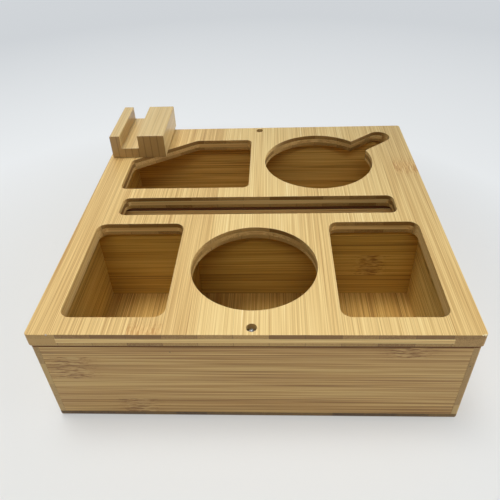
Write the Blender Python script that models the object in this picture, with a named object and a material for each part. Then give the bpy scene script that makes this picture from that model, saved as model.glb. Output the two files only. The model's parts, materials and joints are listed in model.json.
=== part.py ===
# Sofa armrest tray: a bamboo box with a floor and dividers, closed by a screwed-on plate
# with cut-outs, and a phone holder that swivels on a screw near the plate's rear left corner.
# Metres, +Z up. The origin is the centre of the underside, +X is right and +Y is the rear.

import math

import bmesh
import bpy
from mathutils import Vector

# Clearance between pieces that are glued or bear on each other
SEAM = 0.0003

# Box
BOX_WIDTH = 0.298
BOX_DEPTH = 0.298
WALL_HEIGHT = 0.0744
BOARD_THICKNESS = 0.011
FLOOR_THICKNESS = 0.005
CORNER_LIP = 0.005          # side board left standing in front of the front board's end
CORNER_RADIUS = 0.002
FLOOR_ARRIS = 0.001

# Dividers, and the housings cut for their ends
DIVIDER_THICKNESS = 0.005
BOARD_HOUSING_DEPTH = 0.002
DIVIDER_HOUSING_DEPTH = 0.0015

# Plate
PLATE_THICKNESS = 0.0116
PLATE_OVERHANG = 0.001
PLATE_CORNER_RADIUS = 0.0025
PLATE_LOWER_ARRIS = 0.0015
PLATE_UPPER_ARRIS = 0.0004
CUTOUT_ARRIS = 0.0003

# Long slot across the plate, over a channel between two dividers
SLOT_WIDTH = 0.0262
SLOT_CENTRE_Y = -0.0006
SLOT_LIP = 0.0016
SLOT_END_LIP = 0.0193
SLOT_CORNER_RADIUS = 0.006

# Round cup hole in the middle of the front
CUP_HOLE_RADIUS = 0.0473
CUP_WELL_LIP = 0.0062

# The two front cut-outs, by the width of plate that overhangs each wall of their well
FRONT_CUTOUT_SIDE_LIP = 0.0061
FRONT_CUTOUT_DIVIDER_LIP = 0.0008
FRONT_CUTOUT_FRONT_LIP = 0.004
FRONT_CUTOUT_REAR_LIP = 0.0067
FRONT_CUTOUT_CORNER_RADIUS = 0.008

# Mug hole and the slanted slot for the mug's handle
MUG_HOLE_RADIUS = 0.0519
MUG_HOLE_SIDE_LIP = 0.0277
MUG_HOLE_FORWARD = 0.00135   # from the middle of its well's depth
HANDLE_SLOT_RADIUS = 0.0112
HANDLE_SLOT_ANGLE = math.radians(39.7)
HANDLE_SLOT_SIDE_LIP = 0.0027
HANDLE_SLOT_REAR_LIP = 0.0025

# Plate left standing between the mug hole and the rear left cut-out, over the rear middle divider
REAR_STRIP_WIDTH = 0.0145

# Rear left cut-out, its outer rear corner cut off to leave room for the phone holder
REAR_CUTOUT_SIDE_LIP = 0.0117
REAR_CUTOUT_FRONT_LIP = 0.0094
REAR_CUTOUT_REAR_LIP = 0.0163
REAR_CUTOUT_CHAMFER_X = 0.0613
REAR_CUTOUT_CHAMFER_Y = 0.0407
REAR_CUTOUT_CORNER_RADIUS = 0.006

# Wood screws that hold the plate down, in counterbores
SCREW_HEAD_RADIUS = 0.003
SCREW_HEAD_HEIGHT = 0.0022
SCREW_SHANK_RADIUS = 0.00175
SCREW_LENGTH = 0.025
SCREW_POINT = 0.005
SCREW_COUNTERBORE_RADIUS = 0.0036
SCREW_COUNTERBORE_DEPTH = 0.0065
SCREW_PILOT_SPARE = 0.001   # how far the pilot hole runs on past the screw's point

# Phone holder: a channel milled from a laminated bar
HOLDER_LENGTH = 0.070
HOLDER_HEIGHT = 0.0233
HOLDER_WALL = 0.010
HOLDER_SLOT = 0.0175
HOLDER_BLOCK = 0.0263
HOLDER_SLOT_FLOOR = 0.0102
HOLDER_CORNER_RADIUS = 0.0012
HOLDER_ARRIS = 0.0004
PIVOT_INSET_X = 0.0303      # pivot's distance from the plate's left and rear edges
PIVOT_INSET_Y = 0.028

# Pivot screw, with washers in a counterbore under the plate and a threaded insert above it
PIVOT_SHANK_RADIUS = 0.0025
PIVOT_HEAD_RADIUS = 0.0047
PIVOT_HEAD_HEIGHT = 0.0032
PIVOT_SCREW_SHORT = 0.0003  # how far the screw's end stops below the insert's top
PIVOT_BORE_CLEARANCE = 0.0005
PIVOT_COUNTERBORE_CLEARANCE = 0.001
PIVOT_HEAD_RECESS = 0.0003  # how far the head stays inside the plate's underside
FLAT_WASHER_RADIUS = 0.006
FLAT_WASHER_THICKNESS = 0.001
SPRING_WASHER_WIDTH = 0.0016
SPRING_WASHER_THICKNESS = 0.0011
SPRING_WASHER_SPLIT = math.radians(14)
INSERT_WALL = 0.0012
INSERT_LENGTH = 0.0075
INSERT_HOLE_SPARE = 0.0005  # depth left over the insert in its hole

# Pan head with a cross recess, for both kinds of screw, as shares of the head's radius and height
HEAD_STRAIGHT_SIDE = 0.45
RECESS_REACH = 0.55
RECESS_HALF_WIDTH = 0.14
RECESS_DEPTH = 0.6

ARC_STEP = math.radians(9)
ROUND_SEGMENTS = 40
ARRIS_STEPS = 3
DOME_STEPS = 6
SMOOTH_BELOW = math.radians(35)

# Colours, linear RGB
PLATE_COLOUR = (0.76, 0.56, 0.29)
FRONT_COLOUR = (0.42, 0.29, 0.13)
SIDE_COLOUR = (0.46, 0.32, 0.15)
FLOOR_COLOUR = (0.50, 0.34, 0.15)
DIVIDER_COLOUR = (0.44, 0.29, 0.12)
HOLDER_COLOUR = (0.68, 0.52, 0.29)
STEEL_COLOUR = (0.62, 0.62, 0.60)
BRASS_COLOUR = (0.78, 0.58, 0.26)

# Heights of the stacked pieces
wall_base = FLOOR_THICKNESS + SEAM
wall_top = wall_base + WALL_HEIGHT
plate_base = wall_top + SEAM
plate_top = plate_base + PLATE_THICKNESS

# Outer and inner faces of the box
box_x = BOX_WIDTH / 2
box_y = BOX_DEPTH / 2
inner_x = box_x - BOARD_THICKNESS
inner_y = box_y - BOARD_THICKNESS
plate_x = box_x + PLATE_OVERHANG
plate_y = box_y + PLATE_OVERHANG

# Faces of the dividers, which stand a lip's width outside the cut-outs above them
slot_front = SLOT_CENTRE_Y - SLOT_WIDTH / 2
slot_rear = SLOT_CENTRE_Y + SLOT_WIDTH / 2
slot_front_divider_y = slot_front - SLOT_LIP - DIVIDER_THICKNESS / 2
slot_rear_divider_y = slot_rear + SLOT_LIP + DIVIDER_THICKNESS / 2
front_well_rear = slot_front_divider_y - DIVIDER_THICKNESS / 2
rear_well_front = slot_rear_divider_y + DIVIDER_THICKNESS / 2
cup_divider_x = CUP_HOLE_RADIUS + CUP_WELL_LIP + DIVIDER_THICKNESS / 2
side_well_inner = cup_divider_x + DIVIDER_THICKNESS / 2

# Centres of the holes, of the strip between the rear ones and of the pivot
front_cutout_y = (front_well_rear - FRONT_CUTOUT_REAR_LIP - inner_y + FRONT_CUTOUT_FRONT_LIP) / 2
mug_x = inner_x - MUG_HOLE_SIDE_LIP - MUG_HOLE_RADIUS
mug_y = (rear_well_front + inner_y) / 2 - MUG_HOLE_FORWARD
handle_end_x = inner_x - HANDLE_SLOT_SIDE_LIP - HANDLE_SLOT_RADIUS
handle_end_y = inner_y - HANDLE_SLOT_REAR_LIP - HANDLE_SLOT_RADIUS
rear_strip_x = mug_x - MUG_HOLE_RADIUS - REAR_STRIP_WIDTH / 2
screw_y = box_y - BOARD_THICKNESS / 2
pivot_x = PIVOT_INSET_X - plate_x
pivot_y = plate_y - PIVOT_INSET_Y


def clear_scene():
    for item in list(bpy.data.objects):
        bpy.data.objects.remove(item, do_unlink=True)


def material(name, colour, roughness, metallic=0.0):
    made = bpy.data.materials.new(name)
    made.use_nodes = True
    shader = made.node_tree.nodes["Principled BSDF"]
    shader.inputs["Base Color"].default_value = (*colour, 1.0)
    shader.inputs["Roughness"].default_value = roughness
    shader.inputs["Metallic"].default_value = metallic
    return made


def bamboo(name, colour):
    return material(f"{name}_bamboo", colour, 0.5)


def metal(name, colour, roughness):
    return material(f"{name}_metal", colour, roughness, 1.0)


# Outlines are lists of (x, y) points, anticlockwise.

def arc(centre, radius, start, end):
    """Points of an arc, both ends included, in steps no wider than ARC_STEP."""
    steps = max(1, math.ceil(abs(end - start) / ARC_STEP))
    angles = [start + (end - start) * i / steps for i in range(steps + 1)]
    return [(centre[0] + radius * math.cos(a), centre[1] + radius * math.sin(a)) for a in angles]


def circle(centre, radius):
    return arc(centre, radius, 0, 2 * math.pi)[:-1]


def filleted(corners, radius):
    """A convex outline with every corner replaced by an arc of one radius."""
    points = []
    for i, corner in enumerate(corners):
        here = Vector(corner)
        arriving = (here - Vector(corners[i - 1])).normalized()
        leaving = (Vector(corners[(i + 1) % len(corners)]) - here).normalized()
        turn = arriving.angle(leaving)
        centre = here + (leaving - arriving).normalized() * radius / math.cos(turn / 2)
        start = math.atan2(-arriving.x, arriving.y)
        points += arc(centre, radius, start, start + turn)
    return points


def rectangle(x0, y0, x1, y1):
    return [(x0, y0), (x1, y0), (x1, y1), (x0, y1)]


def mirrored(outline):
    return [(-x, y) for x, y in reversed(outline)]


def housings(centres, face, depth, along_y):
    """Points of a face with a divider's housing cut into it at each centre."""
    half = DIVIDER_THICKNESS / 2 + SEAM
    points = []
    for centre in centres:
        for step, level in ((-half, face), (-half, face + depth), (half, face + depth), (half, face)):
            points.append((level, centre + step) if along_y else (centre + step, level))
    return points


def strip_outline(end, near, far, on_near_face):
    """A strip from -end to end in X, with extra points along its near face."""
    outline = [(-end, near), *on_near_face, (end, near), (end, far), (-end, far)]
    return outline if far > near else outline[::-1]


def eased(outline, distance):
    """The outline moved to its left, which is inwards, by one distance at every edge."""
    moved = []
    for i, corner in enumerate(outline):
        here = Vector(corner)
        arriving = (here - Vector(outline[i - 1])).normalized()
        leaving = (Vector(outline[(i + 1) % len(outline)]) - here).normalized()
        left = Vector((-arriving.y - leaving.y, arriving.x + leaving.x)).normalized()
        stretch = left.dot(Vector((-leaving.y, leaving.x)))
        moved.append(tuple(here + left * distance / stretch))
    return moved


def quarter_round(radius):
    """Inset and height of a rounded lower arris, from the face below to the side."""
    turns = [i * math.pi / 2 / ARRIS_STEPS for i in range(ARRIS_STEPS + 1)]
    return [(radius - radius * math.sin(t), radius - radius * math.cos(t)) for t in turns]


def slab(name, outline, thickness, lower=(), upper=(), holes=(), hole_arris=0.0):
    """A flat piece from z = 0 up: an outline and its holes, with their arrises eased.

    lower and upper list (inset, distance from the face) of the outline's arrises.
    """
    mesh = bmesh.new()
    caps = {0: [], 1: []}
    outer = [(inset, height) for inset, height in lower] or [(0.0, 0.0)]
    outer += [(inset, thickness - height) for inset, height in reversed(upper)] or [(0.0, thickness)]
    inner = [(-hole_arris, 0.0), (0.0, hole_arris)]
    inner += [(inset, thickness - height) for inset, height in reversed(inner)]
    for points, profile, is_hole in [(outline, outer, False)] + [(hole, inner, True) for hole in holes]:
        rings = []
        for inset, height in profile:
            ring = eased(points, inset) if inset else points
            rings.append([mesh.verts.new((x, y, height)) for x, y in ring])
        for low, high in zip(rings, rings[1:]):
            for i in range(len(points)):
                quad = (low[i - 1], low[i], high[i], high[i - 1])
                mesh.faces.new(reversed(quad) if is_hole else quad)
        for cap, ring in ((0, rings[0]), (1, rings[-1])):
            caps[cap] += [mesh.edges.get((ring[i - 1], ring[i])) for i in range(len(points))]
    for edges in caps.values():
        bmesh.ops.triangle_fill(mesh, edges=edges, use_beauty=True, use_dissolve=False)
    return finished(name, mesh)


def turned(name, profile):
    """A body of revolution about Z. The profile is (radius, height), upwards, and may meet the axis."""
    segments = ROUND_SEGMENTS
    mesh = bmesh.new()
    rings = []
    for radius, height in profile:
        count = segments if radius else 1
        turns = [2 * math.pi * i / segments for i in range(count)]
        rings.append([mesh.verts.new((radius * math.cos(t), radius * math.sin(t), height)) for t in turns])
    closed = profile[0][0] > 0
    for low, high in zip(rings, rings[1:] + rings[:1] if closed else rings[1:]):
        for i in range(segments):
            corners = [low[i - 1], low[i]] if len(low) > 1 else low[:]
            corners += [high[i], high[i - 1]] if len(high) > 1 else high
            mesh.faces.new(corners)
    made = finished(name, mesh)
    made.data.shade_smooth()
    made.data.set_sharp_from_angle(angle=SMOOTH_BELOW)
    return made


def finished(name, mesh):
    """Turns a bmesh into a named object, with all its faces pointing out."""
    bmesh.ops.recalc_face_normals(mesh, faces=mesh.faces)
    data = bpy.data.meshes.new(name)
    mesh.to_mesh(data)
    mesh.free()
    made = bpy.data.objects.new(name, data)
    bpy.context.scene.collection.objects.link(made)
    return made


def place(piece, location, look, parent=None):
    piece.location = location
    piece.data.materials.append(look)
    if parent:
        piece.parent = parent
    return piece


def cut(piece, cutter, parent=None):
    """Cuts one closed shape out of a piece, and hides the cutter."""
    cutter.hide_render = True
    cutter.display_type = "WIRE"
    if parent:
        cutter.parent = parent
    boolean = piece.modifiers.new(cutter.name, "BOOLEAN")
    boolean.operation = "DIFFERENCE"
    boolean.solver = "EXACT"
    boolean.object = cutter


def drill(name, x, y, steps):
    """A round cutter for a stepped hole. Each step is (radius, low, high), from the bottom up."""
    profile = [(0, steps[0][1])]
    for radius, low, high in steps:
        profile += [(radius, low), (radius, high)]
    profile.append((0, steps[-1][2]))
    made = turned(name, profile)
    made.location = (x, y, 0)
    return made


def front_well_cutout():
    """Outline of the front right cut-out."""
    corners = rectangle(
        side_well_inner + FRONT_CUTOUT_DIVIDER_LIP,
        -inner_y + FRONT_CUTOUT_FRONT_LIP,
        inner_x - FRONT_CUTOUT_SIDE_LIP,
        front_well_rear - FRONT_CUTOUT_REAR_LIP,
    )
    return filleted(corners, FRONT_CUTOUT_CORNER_RADIUS)


def slot_cutout():
    half = inner_x - SLOT_END_LIP
    return filleted(rectangle(-half, slot_front, half, slot_rear), SLOT_CORNER_RADIUS)


def rear_well_cutout():
    left = -inner_x + REAR_CUTOUT_SIDE_LIP
    right = rear_strip_x - REAR_STRIP_WIDTH / 2
    front = rear_well_front + REAR_CUTOUT_FRONT_LIP
    rear = inner_y - REAR_CUTOUT_REAR_LIP
    corners = [
        (left, front),
        (right, front),
        (right, rear),
        (left + REAR_CUTOUT_CHAMFER_X, rear),
        (left, rear - REAR_CUTOUT_CHAMFER_Y),
    ]
    return filleted(corners, REAR_CUTOUT_CORNER_RADIUS)


def mug_cutout():
    """The mug hole and its handle slot in one outline: a large arc and a small one."""
    middle = Vector((mug_x, mug_y))
    end = Vector((handle_end_x, handle_end_y))
    along = Vector((math.cos(HANDLE_SLOT_ANGLE), math.sin(HANDLE_SLOT_ANGLE)))
    across = Vector((-along.y, along.x))
    angles = []
    for side in (-1, 1):
        # Where the slot's straight side meets the circle
        offset = (end - middle).dot(across) + side * HANDLE_SLOT_RADIUS
        angles.append(HANDLE_SLOT_ANGLE + math.asin(offset / MUG_HOLE_RADIUS))
    hole = arc(middle, MUG_HOLE_RADIUS, angles[1], angles[0] + 2 * math.pi)
    quarter = math.pi / 2
    slot = arc(end, HANDLE_SLOT_RADIUS, HANDLE_SLOT_ANGLE - quarter, HANDLE_SLOT_ANGLE + quarter)
    return hole + slot


def build_walls():
    """The four boards. The front and back boards sit in rabbets in the ends of the side boards."""
    cheek = box_x - CORNER_LIP
    shoulder = inner_y - SEAM
    corner = arc((box_x - CORNER_RADIUS, box_y - CORNER_RADIUS), CORNER_RADIUS, 0, math.pi / 2)
    divider_ys = (slot_rear_divider_y, slot_front_divider_y)
    inner_face = [(inner_x, shoulder)]
    for y in divider_ys:
        inner_face += reversed(housings([y], inner_x, BOARD_HOUSING_DEPTH, along_y=True))
    inner_face += [(inner_x, -shoulder)]
    side = [(x, -y) for x, y in reversed(corner)] + corner
    side += [(cheek, box_y), (cheek, shoulder)] + inner_face + [(cheek, -shoulder), (cheek, -box_y)]
    for name, outline in (("right_side_board", side), ("left_side_board", mirrored(side))):
        place(slab(name, outline, WALL_HEIGHT), (0, 0, wall_base), bamboo(name, SIDE_COLOUR))

    end = cheek - SEAM
    cup_dividers = (-cup_divider_x, cup_divider_x)
    across = (("front_board", -1, cup_dividers), ("back_board", 1, (rear_strip_x,)))
    for name, sign, centres in across:
        inside = housings(centres, sign * inner_y, sign * BOARD_HOUSING_DEPTH, along_y=False)
        board = slab(name, strip_outline(end, sign * inner_y, sign * box_y, inside), WALL_HEIGHT)
        place(board, (0, 0, wall_base), bamboo(name, FRONT_COLOUR))
        bottom = screw_seat() - SCREW_LENGTH - SCREW_PILOT_SPARE
        steps = [(SCREW_SHANK_RADIUS + SEAM, bottom, plate_top)]
        cut(board, drill(f"{name}_pilot", 0, sign * screw_y, steps))


def build_floor():
    outline = filleted(rectangle(-box_x, -box_y, box_x, box_y), CORNER_RADIUS)
    floor = slab("floor_board", outline, FLOOR_THICKNESS, lower=quarter_round(FLOOR_ARRIS))
    place(floor, (0, 0, 0), bamboo("floor", FLOOR_COLOUR))


def build_dividers():
    """Two dividers across the box make the slot's channel; three more run from them to the ends."""
    end = inner_x + BOARD_HOUSING_DEPTH - SEAM
    half = DIVIDER_THICKNESS / 2
    crossing = (
        ("slot_front_divider", slot_front_divider_y, -1, (-cup_divider_x, cup_divider_x)),
        ("slot_rear_divider", slot_rear_divider_y, 1, (rear_strip_x,)),
    )
    for name, y, sign, centres in crossing:
        housed = housings(centres, y + sign * half, -sign * DIVIDER_HOUSING_DEPTH, along_y=False)
        piece = slab(name, strip_outline(end, y + sign * half, y - sign * half, housed), WALL_HEIGHT)
        place(piece, (0, 0, wall_base), bamboo(name, DIVIDER_COLOUR))

    into_board = inner_y + BOARD_HOUSING_DEPTH - SEAM
    into_divider = DIVIDER_HOUSING_DEPTH - SEAM
    running = (
        ("cup_divider_left", -cup_divider_x, -into_board, front_well_rear + into_divider),
        ("cup_divider_right", cup_divider_x, -into_board, front_well_rear + into_divider),
        ("rear_middle_divider", rear_strip_x, rear_well_front - into_divider, into_board),
    )
    for name, x, front, rear in running:
        piece = slab(name, rectangle(x - half, front, x + half, rear), WALL_HEIGHT)
        place(piece, (0, 0, wall_base), bamboo(name, DIVIDER_COLOUR))


def build_plate():
    outline = filleted(rectangle(-plate_x, -plate_y, plate_x, plate_y), PLATE_CORNER_RADIUS)
    right = front_well_cutout()
    cup = circle((0, front_cutout_y), CUP_HOLE_RADIUS)
    plate = slab(
        "top_plate",
        outline,
        PLATE_THICKNESS,
        lower=quarter_round(PLATE_LOWER_ARRIS),
        upper=[(PLATE_UPPER_ARRIS, 0.0), (0.0, PLATE_UPPER_ARRIS)],
        holes=[right, mirrored(right), cup, slot_cutout(), rear_well_cutout(), mug_cutout()],
        hole_arris=CUTOUT_ARRIS,
    )
    place(plate, (0, 0, plate_base), bamboo("top_plate", PLATE_COLOUR))

    below = plate_base - PLATE_THICKNESS
    above = plate_top + PLATE_THICKNESS
    ledge = plate_top - SCREW_COUNTERBORE_DEPTH
    for end, sign in (("front", -1), ("back", 1)):
        steps = [(SCREW_SHANK_RADIUS + SEAM, below, ledge), (SCREW_COUNTERBORE_RADIUS, ledge, above)]
        cut(plate, drill(f"{end}_screw_hole", 0, sign * screw_y, steps))

    ledge = washer_seat()
    wide = FLAT_WASHER_RADIUS + PIVOT_COUNTERBORE_CLEARANCE
    steps = [(wide, below, ledge), (PIVOT_SHANK_RADIUS + PIVOT_BORE_CLEARANCE, ledge, above)]
    cut(plate, drill("pivot_hole", pivot_x, pivot_y, steps))


def screw_seat():
    """Height of the underside of a plate screw's head."""
    return plate_top - SCREW_COUNTERBORE_DEPTH + SEAM


def washer_seat():
    """Height of the ledge in the plate's underside that the flat washer bears on."""
    stack = FLAT_WASHER_THICKNESS + SPRING_WASHER_THICKNESS + PIVOT_HEAD_HEIGHT + 3 * SEAM
    return plate_base + PIVOT_HEAD_RECESS + stack


def domed_head(radius, height, base):
    """Profile of a pan head over its flat underside: a short straight side, then a dome."""
    side = HEAD_STRAIGHT_SIDE * height
    turns = [i * math.pi / 2 / DOME_STEPS for i in range(DOME_STEPS)]
    dome = [(radius * math.cos(t), base + side + (height - side) * math.sin(t)) for t in turns]
    return [(radius, base), *dome, (0, base + height)]


def cross_recess(screw, radius, height):
    """Cuts a cross recess into a head that stands on z = 0."""
    reach = radius * RECESS_REACH
    half = radius * RECESS_HALF_WIDTH
    arm = [(half, half), (half, reach), (-half, reach)]
    cross = []
    for quarter in range(4):
        cosine, sine = round(math.cos(quarter * math.pi / 2)), round(math.sin(quarter * math.pi / 2))
        cross += [(cosine * x - sine * y, sine * x + cosine * y) for x, y in arm]
    cutter = slab(f"{screw.name}_recess", cross, height)
    cutter.location = (0, 0, height - height * RECESS_DEPTH)
    cut(screw, cutter, screw)


def build_plate_screws():
    for end, sign in (("front", -1), ("back", 1)):
        tip = -SCREW_LENGTH
        profile = [(0, tip), (SCREW_SHANK_RADIUS, tip + SCREW_POINT), (SCREW_SHANK_RADIUS, 0)]
        profile += domed_head(SCREW_HEAD_RADIUS, SCREW_HEAD_HEIGHT, 0)
        screw = turned(f"plate_screw_{end}", profile)
        cross_recess(screw, SCREW_HEAD_RADIUS, SCREW_HEAD_HEIGHT)
        place(screw, (0, sign * screw_y, screw_seat()), metal(f"plate_screw_{end}", STEEL_COLOUR, 0.3))


def build_holder(pivot):
    """The channel lies along Y with the pivot at its middle. Its section is drawn in X and Z."""
    width = HOLDER_WALL + HOLDER_SLOT + HOLDER_BLOCK
    left = -width / 2
    slot_left = left + HOLDER_WALL
    slot_right = slot_left + HOLDER_SLOT
    section = filleted(rectangle(left, 0, -left, HOLDER_HEIGHT), HOLDER_CORNER_RADIUS)
    # The outline is anticlockwise from its lower left arc, so the notch goes in before the last arc
    per_corner = len(section) // 4
    notch = [
        (slot_right, HOLDER_HEIGHT),
        (slot_right, HOLDER_SLOT_FLOOR),
        (slot_left, HOLDER_SLOT_FLOOR),
        (slot_left, HOLDER_HEIGHT),
    ]
    section = section[: 3 * per_corner] + notch + section[3 * per_corner:]
    ends = [(HOLDER_ARRIS, 0.0), (0.0, HOLDER_ARRIS)]
    channel = slab("holder_channel", section, HOLDER_LENGTH, lower=ends, upper=ends)
    channel.rotation_euler = (math.pi / 2, 0, 0)
    place(channel, (0, HOLDER_LENGTH / 2, SEAM), bamboo("holder", HOLDER_COLOUR), pivot)

    insert_base = SEAM + HOLDER_ARRIS
    hole_top = insert_base + INSERT_LENGTH + INSERT_HOLE_SPARE
    steps = [(insert_radius() + SEAM, SEAM - HOLDER_HEIGHT, hole_top)]
    cut(channel, drill("insert_hole", 0, 0, steps), pivot)

    bore = PIVOT_SHANK_RADIUS + SEAM
    profile = [(bore, 0), (insert_radius(), 0), (insert_radius(), INSERT_LENGTH), (bore, INSERT_LENGTH)]
    insert = turned("holder_insert", profile)
    place(insert, (0, 0, insert_base), metal("insert", BRASS_COLOUR, 0.35), pivot)


def insert_radius():
    return PIVOT_SHANK_RADIUS + SEAM + INSERT_WALL


def build_pivot(pivot):
    """Screw head, spring washer and flat washer, upwards. The screw ends in the insert."""
    ledge = washer_seat() - plate_top
    flat_base = ledge - SEAM - FLAT_WASHER_THICKNESS
    spring_base = flat_base - SEAM - SPRING_WASHER_THICKNESS
    head_top = spring_base - SEAM

    length = SEAM + HOLDER_ARRIS + INSERT_LENGTH - PIVOT_SCREW_SHORT - head_top
    profile = [(0, -length), (PIVOT_SHANK_RADIUS, -length), (PIVOT_SHANK_RADIUS, 0)]
    profile += domed_head(PIVOT_HEAD_RADIUS, PIVOT_HEAD_HEIGHT, 0)
    screw = turned("pivot_screw", profile)
    cross_recess(screw, PIVOT_HEAD_RADIUS, PIVOT_HEAD_HEIGHT)
    screw.rotation_euler = (math.pi, 0, 0)
    place(screw, (0, 0, head_top), metal("pivot_screw", STEEL_COLOUR, 0.3), pivot)

    bore = PIVOT_SHANK_RADIUS + SEAM
    outer = bore + SPRING_WASHER_WIDTH
    start = SPRING_WASHER_SPLIT / 2
    end = 2 * math.pi - start
    split_ring = arc((0, 0), outer, start, end) + arc((0, 0), bore, end, start)
    spring = slab("pivot_spring_washer", split_ring, SPRING_WASHER_THICKNESS)
    place(spring, (0, 0, spring_base), metal("spring_washer", STEEL_COLOUR, 0.4), pivot)

    profile = [(bore, 0), (FLAT_WASHER_RADIUS, 0), (FLAT_WASHER_RADIUS, FLAT_WASHER_THICKNESS)]
    profile += [(bore, FLAT_WASHER_THICKNESS)]
    washer = turned("pivot_flat_washer", profile)
    place(washer, (pivot_x, pivot_y, plate_top + flat_base), metal("flat_washer", STEEL_COLOUR, 0.35))


def build():
    clear_scene()
    build_floor()
    build_walls()
    build_dividers()
    build_plate()
    build_plate_screws()
    pivot = bpy.data.objects.new("phone_holder_pivot", None)
    pivot.location = (pivot_x, pivot_y, plate_top)
    bpy.context.scene.collection.objects.link(pivot)
    build_holder(pivot)
    build_pivot(pivot)


build()
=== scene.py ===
import json
import math
from functools import partial

import bpy
import numpy as np
from mathutils import Matrix, Vector
from mathutils.geometry import delaunay_2d_cdt


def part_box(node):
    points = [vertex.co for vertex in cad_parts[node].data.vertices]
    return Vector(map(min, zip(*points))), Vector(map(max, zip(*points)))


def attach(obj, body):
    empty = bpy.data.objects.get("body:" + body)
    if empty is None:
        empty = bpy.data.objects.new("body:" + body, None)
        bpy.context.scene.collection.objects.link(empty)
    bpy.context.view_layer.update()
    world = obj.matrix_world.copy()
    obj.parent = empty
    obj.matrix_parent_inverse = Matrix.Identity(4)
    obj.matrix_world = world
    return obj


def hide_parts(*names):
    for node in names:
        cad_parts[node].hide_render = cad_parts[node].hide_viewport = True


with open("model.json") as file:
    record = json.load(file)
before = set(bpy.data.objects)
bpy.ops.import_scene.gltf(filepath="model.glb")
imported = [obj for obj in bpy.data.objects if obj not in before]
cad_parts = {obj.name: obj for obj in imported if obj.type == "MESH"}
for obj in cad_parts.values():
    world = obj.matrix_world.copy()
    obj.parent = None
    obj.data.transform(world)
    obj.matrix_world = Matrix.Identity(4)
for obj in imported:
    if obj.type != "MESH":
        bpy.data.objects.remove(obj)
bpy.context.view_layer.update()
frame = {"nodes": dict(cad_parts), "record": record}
print("frame loaded:", len(frame["nodes"]), "nodes")


def inMm(node):
    # lowest and highest corner of a CAD node, in millimetres
    low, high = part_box(node)
    return np.array(low) * 1000, np.array(high) * 1000


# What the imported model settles: faces and heights that the finished pieces keep
plateLow, plateHigh = inMm("top_plate")
sideLow, sideHigh = inMm("right_side_board")
frontHigh = inMm("front_board")[1]
floorLow, floorHigh = inMm("floor_board")
slotFrontLow, slotFrontHigh = inMm("slot_front_divider")
slotRearLow, slotRearHigh = inMm("slot_rear_divider")
cupDividerLow, cupDividerHigh = inMm("cup_divider_right")
rearDividerLow, rearDividerHigh = inMm("rear_middle_divider")
holderLow, holderHigh = inMm("holder_channel")
pivot = np.array(frame["record"]["behaviour"]["joints"][0]["pos_m"]) * 1000

joint = {
    "solidSeam": 0.3,  # the solids stand this far apart where the real boards are glued
    "seam": 0.06,  # what shows of a glued seam
    "arris": 0.1,  # sawn edges that meet another board are only just broken
    "corner": 0.15,  # upright corners
    "inner": 0.15,  # and the inner ones of the housings
    "plateGap": 1.6,  # the plate is screwed down this far above the boards, and a dark strip in the gap paints the shade line under it
    "shadowStripBack": 0.12,  # how far that strip of painted shade stands back from the wood under it
    "rearGap": 3.6,  # the divider behind the slot is cut a little lower
    "boardHousing": 2.0,  # depth of the housings for the dividers' ends
    "dividerHousing": 1.5,
    "boxCorner": 2.0,  # the box's upright edges
    "floorEdge": 1.9,  # the rounded lower edge of the floor
    "pilotRadius": 1.9,  # holes for the plate's screws in the boards
    "pilotDepth": 21.0,
}
closeUp = (joint["solidSeam"] - joint["seam"]) / 2  # how far each piece grows towards its neighbour


# Outlines are arrays of (x, y) points, anticlockwise.

def unit(vectors):
    return vectors / np.linalg.norm(vectors, axis=-1, keepdims=True)


def arc(centre, radius, start, end, steps):
    # points at one radius round a centre, their angles evenly from start to end
    turn = np.linspace(start, end, steps + 1)
    return np.asarray(centre) + radius * np.column_stack([np.cos(turn), np.sin(turn)])


def ring(centre, radius, steps):
    return arc(centre, radius, 0, 2 * math.pi, steps)[:-1]


def rounded(corners, radius, steps=6):
    # each corner becomes an arc that touches both its sides: its centre lies on the bisector,
    # radius / cos(half the turn) from the corner, and it sweeps the turn between the sides
    corners = np.asarray(corners, float)
    radius = np.broadcast_to(np.asarray(radius, float), len(corners))
    arriving = unit(corners - np.roll(corners, 1, axis=0))
    leaving = np.roll(arriving, -1, axis=0)
    cross = arriving[:, 0] * leaving[:, 1] - arriving[:, 1] * leaving[:, 0]
    turn = np.arctan2(cross, (arriving * leaving).sum(axis=1))
    side = np.sign(turn)
    centre = corners + unit(leaving - arriving) * (radius / np.cos(turn / 2))[:, None]
    start = np.arctan2(-arriving[:, 0] * side, arriving[:, 1] * side)
    angle = start[:, None] + turn[:, None] * np.linspace(0, 1, steps + 1)
    around = np.stack([np.cos(angle), np.sin(angle)], axis=-1)
    return (centre[:, None] + radius[:, None, None] * around).reshape(-1, 2)


def rectangle(x0, y0, x1, y1):
    return [(x0, y0), (x1, y0), (x1, y1), (x0, y1)]


def mirrored(outline):
    return (np.asarray(outline) * (-1, 1))[::-1]


def inset(outline, distance):
    # every point moves inwards along the mean normal of its two edges, by the distance over the
    # cosine of half the turn, so that each edge moves by exactly the distance
    arriving = unit(outline - np.roll(outline, 1, axis=0))
    leaving = np.roll(arriving, -1, axis=0)
    left = unit(np.column_stack([-(arriving + leaving)[:, 1], (arriving + leaving)[:, 0]]))
    stretch = left[:, 1] * leaving[:, 0] - left[:, 0] * leaving[:, 1]
    return outline + left * (distance / stretch)[:, None]


def quarterRound(radius, steps=4):
    # inset r(1 - sin t) and rise r(1 - cos t) from a flat face to the side, t from 0 to 90 degrees
    t = np.linspace(0, math.pi / 2, steps + 1)
    return np.column_stack([radius * (1 - np.sin(t)), radius * (1 - np.cos(t))])


def edgeProfile(low, high, lowRadius, highRadius, sign=1):
    # (inset, height) up the side of a board: a quarter round, the straight side, a quarter round
    bottom = quarterRound(lowRadius) * (sign, 1) + (0, low)
    top = quarterRound(highRadius)[::-1] * (sign, -1) + (0, high)
    return np.vstack([bottom, top])


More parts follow.
